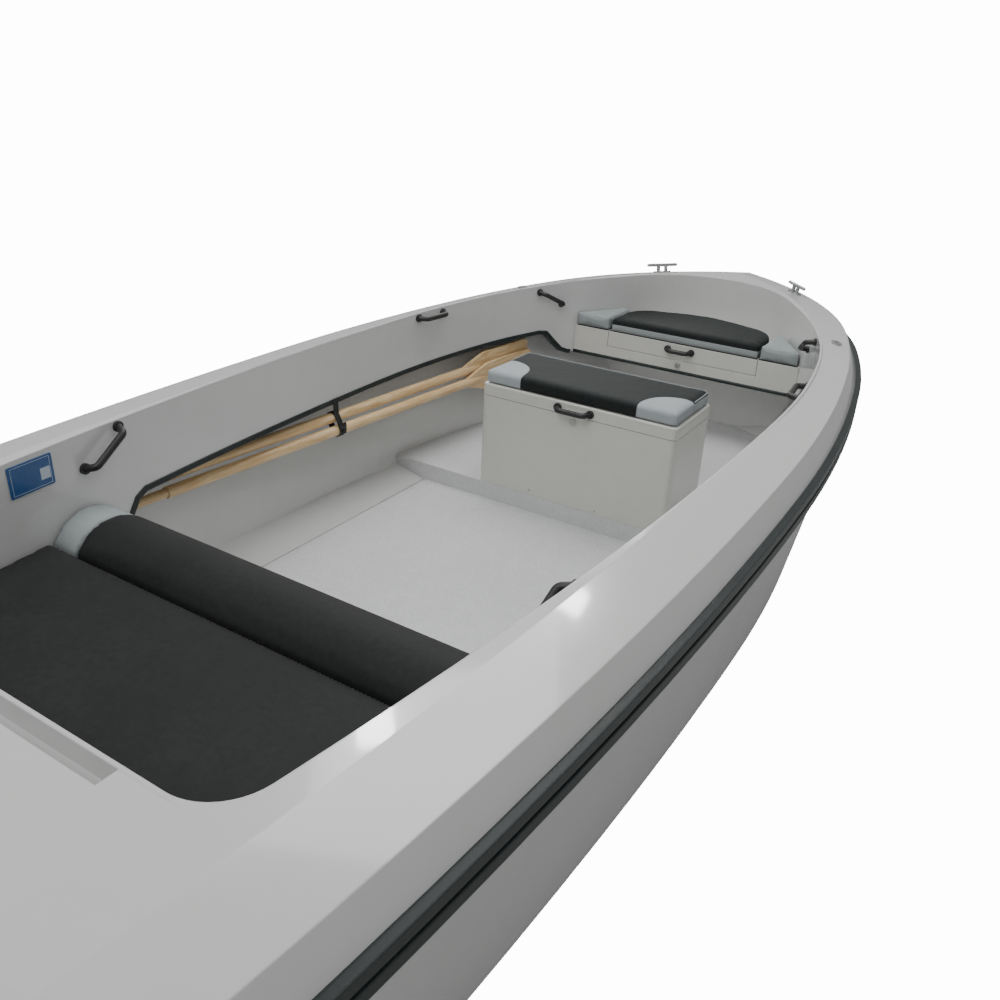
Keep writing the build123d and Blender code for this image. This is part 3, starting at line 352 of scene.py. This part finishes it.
# Sole: the cockpit's floor, a laminate panel bonded in over the bottom. Its gelcoat is sprayed with a
# fine pale speckle, which keeps it from being slippery.
non_slip, normal, colour = finish_of(
    "deck_grip", (0.56, 0.57, 0.57), (0.52, 0.53, 0.53), 1.6, 0.55, 0.004, (0.62, 0.62, 0.62))
tree = non_slip.node_tree
place = put(tree, "TexCoord").outputs["Object"]
speck = put(tree, "TexNoise", {"Vector": place, "Scale": 260.0, "Detail": 2.0, "Roughness": 0.6})
dots = put(tree, "MapRange", {0: speck.outputs[0], 1: 0.52, 2: 0.66})
light = put(tree, "Mix", {0: dots.outputs[0], 6: colour, 7: (0.68, 0.69, 0.69, 1)}, data_type="RGBA")
coloured(non_slip, light.outputs[2])
bumped(non_slip, normal, speck.outputs[0], 0.35, 0.0015)
dress("sole", non_slip)


# Rub rail and wall edging: black-green rubber, extruded. The rail is fastened over the joint of hull
# and deck, the edging is pushed onto the walls' lower edge, and both are scuffed pale at their edges.
rubber, normal, _ = finish_of(
    "rubber", (0.009, 0.0145, 0.014), (0.016, 0.024, 0.023), 6.0, 0.40, 0.006, (0.045, 0.06, 0.057),
    Specular_IOR_Level=0.35)
tree = rubber.node_tree
place = put(tree, "TexCoord").outputs["Object"]
scuff = put(tree, "TexNoise", {"Vector": place, "Scale": 90.0, "Detail": 4.0})
bumped(rubber, normal, scuff.outputs[0], 0.12, 0.002)
dress("rub_rail", rubber)
dress("pocket_edging", rubber)


# Bow seat edging: the same rubber strip along the foot of the seat's front panel, pushed on from wall
# to wall, with a rounded back.
strip_profile = ((0.0004, 0.011), (-0.0035, 0.0095), (-0.005, 0.004), (-0.005, -0.001), (-0.003, -0.0035),
                 (0.004, -0.004))
low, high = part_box("bow_seat")
foot = [v.co for v in cad["bow_seat"].data.vertices if v.co.x < low.x + 0.001 and v.co.z < low.z + 0.02]
half_length = max(abs(spot.y) for spot in foot) - 0.002
form = bmesh.new()
rows = []
for y in np.linspace(-half_length, half_length, 25):
    rows.append([form.verts.new((low.x + x, y, low.z + z)) for x, z in strip_profile])
for first, second in zip(rows, rows[1:]):
    for a in range(len(strip_profile) - 1):
        form.faces.new((first[a], second[a], second[a + 1], first[a + 1]))
form.faces.new(rows[0])
form.faces.new(rows[-1][::-1])
seat_edging = new_mesh("bow_seat_edging", form)
seat_edging.data.materials.append(rubber)
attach(seat_edging, "root")


# Stern cushion: a flat foam pad sewn into charcoal vinyl, which lies loose on the stern bench. A short
# cloth run under pressure puffs it, and its foot stays flat on the bench.
def vinyl(name, colour, other, pale=None, attribute=None):
    """Grained vinyl. With an attribute, a second colour shows where it is above zero, sewn in at zero."""
    edge_colour = tuple(1.5 * c + 0.01 for c in other)
    made, rounded, dark = finish_of(name, colour, other, 5.0, 0.62, 0.002, edge_colour,
                                    Specular_IOR_Level=0.16)
    tree = made.node_tree
    place = put(tree, "TexCoord").outputs["Object"]
    grain = put(tree, "TexVoronoi", {"Vector": place, "Scale": 620.0}, feature="SMOOTH_F1")
    crease = put(tree, "TexNoise", {"Vector": place, "Scale": 14.0, "Detail": 2.0})
    soft = bumped(made, rounded, crease.outputs[0], 0.25, 0.01)
    skin = bumped(made, soft, grain.outputs[0], 0.3, 0.0007)
    if attribute:
        side = put(tree, "Attribute", attribute_name=attribute).outputs["Fac"]
        sharp = put(tree, "MapRange", {0: side, 1: -0.0004, 2: 0.0004})
        both = put(tree, "Mix", {0: sharp.outputs[0], 6: dark, 7: (*pale, 1)}, data_type="RGBA")
        coloured(made, both.outputs[2])
        near = put(tree, "Math", {0: side}, operation="ABSOLUTE")
        seam = put(tree, "MapRange", {0: near.outputs[0], 1: 0.0, 2: 0.003})
        bumped(made, skin, seam.outputs[0], 0.8, 0.002)
    return made


def places_of(mesh):
    """The vertices as rows of x, y, z."""
    flat = np.zeros(3 * len(mesh.vertices))
    mesh.vertices.foreach_get("co", flat)
    return flat.reshape(-1, 3)


def stuffed(name, node, body, material, voxel, cap):
    """Remeshes a plain CAD cushion, puffs it with cloth under pressure by up to cap, and keeps its foot."""
    slack, foot_height, pressure, stiffness, last_step = 0.002, 0.006, 4, 20, 20
    pad = bpy.data.objects.new(name, cad[node].data.copy())
    scene.collection.objects.link(pad)
    pad.modifiers.new("remesh", "REMESH").voxel_size = voxel
    graph = bpy.context.evaluated_depsgraph_get()
    mesh = bpy.data.meshes.new_from_object(pad.evaluated_get(graph))
    pad.modifiers.clear()
    form = bmesh.new()
    form.from_mesh(mesh)
    low = min(v.co.z for v in form.verts)
    for _ in range(4):
        bmesh.ops.smooth_vert(form, verts=form.verts, factor=0.5, use_axis_x=True, use_axis_y=True,
                              use_axis_z=True)
    form.normal_update()
    for v in form.verts:
        v.co -= v.normal * slack
    form.to_mesh(mesh)
    form.free()
    pad.data = mesh
    rest = places_of(mesh)
    shift = np.zeros_like(rest)
    cloth = pad.modifiers.new("cloth", "CLOTH")
    cloth.settings.quality = 4
    cloth.settings.use_pressure = True
    cloth.settings.uniform_pressure_force = pressure
    cloth.settings.effector_weights.gravity = 0
    cloth.settings.tension_stiffness = stiffness
    cloth.settings.compression_stiffness = stiffness
    for step in range(1, last_step + 1):
        scene.frame_set(step)
    graph = bpy.context.evaluated_depsgraph_get()
    shift = places_of(pad.evaluated_get(graph).data) - rest
    pad.modifiers.clear()
    scene.frame_set(1)
    moved = np.linalg.norm(shift, axis=1, keepdims=True)
    shift *= np.minimum(1, cap / np.maximum(moved, 1e-9))
    shift[rest[:, 2] < low + foot_height, 2] = 0
    mesh.vertices.foreach_set("co", (rest + shift).ravel())
    mesh.update()
    mesh.shade_smooth()
    mesh.materials.clear()
    mesh.materials.append(material)
    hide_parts(node)
    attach(pad, body)
    return pad


charcoal = vinyl("charcoal_vinyl", (0.016, 0.017, 0.017), (0.021, 0.022, 0.022))
seat = stuffed("stern_seat_pad", "stern_cushion", "root", charcoal, 0.008, 0.005)


# Stern roll: a stuffed bolster along the front of the seat pad. Its middle is charcoal vinyl and its
# ends are pale grey, each a foam piece sewn into a cover of its own.
roll_pad = stuffed("stern_roll_pad", "stern_roll", "root", charcoal, 0.007, 0.005)
pale_vinyl = vinyl("grey_vinyl", (0.28, 0.31, 0.315), (0.25, 0.275, 0.28))
roll_ends = stuffed("stern_roll_end_pads", "stern_roll_ends", "root", pale_vinyl, 0.006, 0.003)


# Stitches: one row of black thread through the top of the seat pad, along its seam with the roll.
# Each dash is a short round-ended bead that lies on the puffed vinyl.
thread, _, _ = finish_of(
    "thread", (0.008, 0.008, 0.008), (0.015, 0.015, 0.015), 300.0, 0.7, 0.0005, (0.03, 0.03, 0.03))
stitch_length, stitch_width, stitch_step = 0.0075, 0.0022, 0.011
row_half, row_inset, stitch_lift = 0.60, 0.012, 0.0003
low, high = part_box("stern_cushion")
surface = surface_of(seat)
row = []
for y in np.arange(-row_half, row_half, stitch_step):
    hit = surface.ray_cast(Vector((high.x - row_inset, y, 1)), Vector((0, 0, -1)))[0]
    row.append(hit + Vector((0, 0, stitch_lift)))
form = bmesh.new()
stretch = Matrix.Diagonal((stitch_width / 2, stitch_width / 2, stitch_length / 2, 1))
for start, end in zip(row, row[1:]):
    along = (end - start).normalized().to_track_quat("Z", "Y").to_matrix().to_4x4()
    bmesh.ops.create_uvsphere(form, u_segments=6, v_segments=5, radius=1,
                              matrix=Matrix.Translation((start + end) / 2) @ along @ stretch)
stitches = new_mesh("stern_stitches", form)
stitches.data.materials.append(thread)
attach(stitches, "root")


# Box cushion: a foam pad in slate vinyl, fixed to the box's lid. Rounded pale patches wrap its two aft
# corners, its sides are pale, and a pale piping runs round the rest of its top.
def attribute_of(obj, name, values):
    """Stores one number for each vertex."""
    stored = obj.data.attributes.new(name, "FLOAT", "POINT")
    stored.data.foreach_set("value", np.asarray(values, np.float32))


slate = vinyl("slate_vinyl", (0.0125, 0.0155, 0.015), (0.017, 0.0205, 0.020), (0.34, 0.37, 0.385), "pale")
box_pad = stuffed("box_pad", "box_cushion", "box_lid", slate, 0.006, 0.004)
patch_length, patch_width, patch_power, patch_scale = 0.165, 0.155, 2.6, 0.15
side_band, top_band = 0.010, 0.011
low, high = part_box("box_cushion")
x, y, z = places_of(box_pad.data).T
from_aft = np.maximum(0, x - low.x) / patch_length
from_side = np.maximum(0, high.y - np.abs(y)) / patch_width
patch = (1 - (from_aft ** patch_power + from_side ** patch_power) ** (1 / patch_power)) * patch_scale
sides = np.minimum(np.abs(y) - (high.y - side_band), (high.z - top_band) - z)
attribute_of(box_pad, "pale", np.maximum(patch, sides))


def tube(name, points, radius, body, material):
    """A round cord of piping along points that lie on another piece."""
    line = bpy.data.curves.new(name, "CURVE")
    line.dimensions = "3D"
    line.bevel_depth = radius
    line.bevel_resolution = 3
    spline = line.splines.new("POLY")
    spline.points.add(len(points) - 1)
    for point, spot in zip(spline.points, points):
        point.co = (*spot, 1)
    made = bpy.data.objects.new(name, line)
    scene.collection.objects.link(made)
    line.materials.append(material)
    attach(made, body)


piping_radius, piping_inset, piping_bend, piping_start = 0.0028, 0.010, 0.020, 0.17
bend_x = high.x - piping_inset - piping_bend
bend_y = high.y - piping_inset - piping_bend
half_ring = [(x, high.y - piping_inset) for x in np.linspace(low.x + piping_start, bend_x, 24)]
for turn in np.radians(np.linspace(0, 90, 8)):
    half_ring.append((bend_x + piping_bend * math.sin(turn), bend_y + piping_bend * math.cos(turn)))
surface = surface_of(box_pad)
piping = []
for x, y in [(x, -y) for x, y in half_ring] + half_ring[::-1]:
    hit = surface.ray_cast(Vector((x, y, 1)), Vector((0, 0, -1)))[0]
    if hit:
        piping.append(hit)
tube("box_pad_piping", piping, piping_radius, "box_lid", pale_vinyl)


# Bow cushions: foam pads in vinyl round the bow seat. The slate middle, with a pale band round its
# foot, is fixed to the lid and lifts with it, and the pale ends stay on the seat.
band_height = 0.0317
banded = vinyl("slate_vinyl_band", (0.014, 0.0172, 0.0167), (0.019, 0.0225, 0.022),
               (0.30, 0.33, 0.335), "pale")
bow_pad = stuffed("bow_pad", "bow_cushion_middle", "bow_lid", banded, 0.006, 0.004)
low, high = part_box("bow_cushion_middle")
attribute_of(bow_pad, "pale", low.z + band_height - places_of(bow_pad.data)[:, 2])
bow_ends = stuffed("bow_end_pads", "bow_cushion_ends", "root", pale_vinyl, 0.006, 0.003)


# Black cord: a thin black cord along the foot of the bow cushions' front, where they meet the seat.
# It comes in three lengths, one on the lid and one on the seat to each side of it, so that the lid can lift.
black_cord_radius = 0.0022
seat_low, seat_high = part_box("bow_cushion_ends")
for name, start, end, body in (("black_cord_middle", low.y, high.y, "bow_lid"),
                               ("black_cord_port", high.y + 0.006, seat_high.y - 0.004, "root"),
                               ("black_cord_starboard", seat_low.y + 0.004, low.y - 0.006, "root")):
    points = [(low.x - 0.0005, y, low.z + black_cord_radius) for y in np.linspace(start, end, 12)]
    tube(name, points, black_cord_radius, body, thread)


# Black plastic: grab handles, lid handles and drain plug. Each is injection moulded with a fine grain
# and screwed to the laminate, and its edges are worn a little paler.
plastic, normal, _ = finish_of(
    "black_plastic", (0.010, 0.010, 0.010), (0.016, 0.016, 0.016), 9.0, 0.42, 0.002, (0.05, 0.05, 0.05),
    Specular_IOR_Level=0.5)
tree = plastic.node_tree
place = put(tree, "TexCoord").outputs["Object"]
pits = put(tree, "TexVoronoi", {"Vector": place, "Scale": 900.0})
bumped(plastic, normal, pits.outputs[0], 0.2, 0.0004)
for node in ("grab_handles_aft", "grab_handles_middle", "grab_handles_forward", "box_lid_handle",
             "bow_lid_handle", "drain_plug"):
    dress(node, plastic)


# Metal fittings: hinges, locks, eyes and oarlock sockets of stainless steel, brushed along the boat,
# and cleats and propeller cast in light alloy, duller and darker in patches.
def metal(name, colour, rough, stretch):
    """Brushed or cast metal: fine lines stretched along an axis."""
    brightest = tuple(min(1, 1.3 * c) for c in colour)
    made, rounded, _ = finish_of(name, colour, tuple(0.8 * c for c in colour), 14.0, rough, 0.0012,
                                 brightest, Metallic=1.0)
    tree = made.node_tree
    place = put(tree, "TexCoord").outputs["Object"]
    drawn = put(tree, "Mapping", {"Vector": place, "Scale": stretch})
    lines = put(tree, "TexNoise", {"Vector": drawn.outputs[0], "Scale": 120.0, "Detail": 3.0})
    bumped(made, rounded, lines.outputs[0], 0.15, 0.0008)
    return made


steel = metal("steel", (0.52, 0.52, 0.51), 0.28, (0.1, 1, 1))
cast = metal("cast_grey", (0.42, 0.43, 0.43), 0.42, (1, 1, 1))
for node in ("box_hinge_pins", "box_hinge_leaves", "bow_lid_hinge", "bow_eye", "stern_eyes", "box_lock",
             "bow_lock", "oarlock_sockets"):
    dress(node, steel)
for node in ("cleats", "propeller"):
    dress(node, cast)


# Screws: two small steel pan heads in the foot of the seat box's aft face, which hold it down to the
# platform. Each is a low dome with a dimple in its middle.
screw_radius, screw_sides = 0.0045, 16
screw_places = ((0.162, 0.100), (-0.117, 0.094))
head_profile = ((1.0, 0.0), (0.96, 0.22), (0.75, 0.42), (0.42, 0.52), (0.30, 0.36))
low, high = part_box("seat_box")
facing_aft = Vector((-1, 0, 0)).to_track_quat("Z", "Y").to_matrix().to_4x4()
form = bmesh.new()
for y, z in screw_places:
    head = Matrix.Translation((low.x, y, z)) @ facing_aft @ Matrix.Scale(screw_radius, 4)
    rings = []
    for share, rise in head_profile:
        rings.append([form.verts.new(head @ Vector((share * math.cos(a), share * math.sin(a), rise)))
                      for a in np.linspace(0, 2 * math.pi, screw_sides, endpoint=False)])
    for first, second in zip(rings, rings[1:]):
        for k in range(screw_sides):
            after = (k + 1) % screw_sides
            form.faces.new((first[k], first[after], second[after], second[k]))
    form.faces.new(rings[-1])
screws = new_mesh("box_screws", form)
screws.data.materials.append(steel)
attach(screws, "root")


# Oars: turned and planed from pale pine, with the grain along the shaft and a thin varnish. They lie
# one over the other in the port side pocket.
oar_heading = 0.0722
pine, normal, colour = finish_of(
    "pine", (0.70, 0.50, 0.27), (0.76, 0.57, 0.32), 4.0, 0.38, 0.003, (0.80, 0.62, 0.38),
    Coat_Weight=0.35, Coat_Roughness=0.2)
tree = pine.node_tree
place = put(tree, "TexCoord").outputs["Object"]
along = put(tree, "Mapping", {"Vector": place, "Rotation": (0, 0, oar_heading), "Scale": (0.7, 26.0, 26.0)})
rings = put(tree, "TexNoise", {"Vector": along.outputs[0], "Scale": 3.2, "Detail": 5.0, "Distortion": 0.6})
lines = put(tree, "MapRange", {0: rings.outputs[0], 1: 0.44, 2: 0.62})
grain = put(tree, "Mix", {0: lines.outputs[0], 6: colour, 7: (0.60, 0.39, 0.18, 1)}, data_type="RGBA")
coloured(pine, grain.outputs[2])
bumped(pine, normal, rings.outputs[0], 0.1, 0.001)
dress("oar_lower", pine)
dress("oar_upper", pine)


# Oar strap: black woven webbing, hung from the edge of the wall and drawn round both oars.
# Its weave is two sets of ribs that cross.
webbing, normal, _ = finish_of(
    "webbing", (0.010, 0.010, 0.010), (0.018, 0.018, 0.018), 30.0, 0.75, 0.001, (0.04, 0.04, 0.04))
tree = webbing.node_tree
place = put(tree, "TexCoord").outputs["Object"]
warp = put(tree, "TexWave", {"Vector": place, "Scale": 220.0, "Distortion": 0.4}, bands_direction="X")
weft = put(tree, "TexWave", {"Vector": place, "Scale": 160.0, "Distortion": 0.4}, bands_direction="Z")
weave = put(tree, "Math", {0: warp.outputs["Fac"], 1: weft.outputs["Fac"]}, operation="MULTIPLY")
bumped(webbing, normal, weave.outputs[0], 0.7, 0.0008)
dress("oar_strap", webbing)


# Strap buckle: a side-release clip moulded in the same black plastic. A frame of two rails and two
# posts holds a tongue with its body and two ribs, and the strap is threaded through it.
buckle_bars = (
    ((-0.5, 0.1, -0.5), (0.5, 0.5, -0.30)),
    ((-0.5, 0.1, 0.30), (0.5, 0.5, 0.5)),
    ((-0.5, -0.1, -0.35), (-0.30, 0.5, 0.35)),
    ((0.30, -0.1, -0.35), (0.5, 0.5, 0.35)),
    ((-0.22, -0.5, -0.32), (0.22, 0.3, 0.12)),
    ((-0.36, -0.3, 0.0), (0.36, 0.3, 0.30)),
    ((-0.3, -0.5, -0.45), (0.3, -0.2, -0.38)),
    ((-0.3, -0.5, 0.36), (0.3, -0.2, 0.43)),
)
low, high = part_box("strap_buckle")
whole, middle = Matrix.Diagonal(high - low), (low + high) / 2
form = bmesh.new()
for corner, opposite in buckle_bars:
    a, b = Vector(corner), Vector(opposite)
    bar = Matrix.Diagonal((*(whole @ (b - a)), 1))
    bmesh.ops.create_cube(form, size=1, matrix=Matrix.Translation(middle + whole @ (a + b) / 2) @ bar)
buckle = new_mesh("buckle", form, smooth=False)
rounding = buckle.modifiers.new("rounding", "BEVEL")
rounding.width = 0.0012
rounding.segments = 2
buckle.data.materials.append(plastic)
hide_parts("strap_buckle")
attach(buckle, "root")


# Side plate: a thin plate glued to the port wall, in blue gloss. It is printed with a pale border line
# and one pale field, and the rest of it is blank.
blue, _, _ = finish_of(
    "plate_blue", (0.012, 0.075, 0.24), (0.016, 0.09, 0.28), 8.0, 0.3, 0.001, (0.05, 0.16, 0.38),
    Coat_Weight=0.3)
dress("side_plate", blue)
print_white, _, _ = finish_of(
    "plate_print", (0.50, 0.58, 0.66), (0.46, 0.54, 0.63), 20.0, 0.35, 0.0005, (0.6, 0.66, 0.7))
print_lift = 0.0004
prints = (
    (0.70, 0.92, 0.24, 0.62),
    (0.06, 0.94, 0.06, 0.075),
    (0.06, 0.94, 0.925, 0.94),
    (0.06, 0.07, 0.06, 0.94),
    (0.93, 0.94, 0.06, 0.94),
)
low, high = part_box("side_plate")
surface = surface_of(cad["side_plate"])
form = bmesh.new()
for x0, x1, z0, z1 in prints:
    rows = []
    for x in np.linspace(x0, x1, 6):
        row = []
        for z in (z0, z1):
            spot = Vector((low.x + x * (high.x - low.x), 0, low.z + z * (high.z - low.z)))
            hit = surface.ray_cast(spot, Vector((0, 1, 0)))[0]
            row.append(form.verts.new(hit - Vector((0, print_lift, 0))))
        rows.append(row)
    for first, second in zip(rows, rows[1:]):
        form.faces.new((first[0], second[0], second[1], first[1]))
field = new_mesh("plate_field", form)
field.data.materials.append(print_white)
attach(field, "root")


# Motor: clamp, swivel, leg and gear housing cast in light alloy and bolted together, and a moulded
# cowl over the engine, all in one gloss black paint with a faint flake.
paint, normal, _ = finish_of(
    "motor_paint", (0.012, 0.013, 0.015), (0.018, 0.019, 0.022), 7.0, 0.3, 0.003, (0.05, 0.052, 0.056),
    Coat_Weight=0.5, Coat_Roughness=0.1)
tree = paint.node_tree
place = put(tree, "TexCoord").outputs["Object"]
flake = put(tree, "TexVoronoi", {"Vector": place, "Scale": 1200.0})
bumped(paint, normal, flake.outputs[0], 0.06, 0.0003)
for node in ("motor_clamp", "motor_swivel", "motor_leg", "motor_gearcase", "motor_cowl"):
    dress(node, paint)


size = {"cad": [list(corner) for corner in cad_box], "visual": [list(corner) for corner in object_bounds()]}
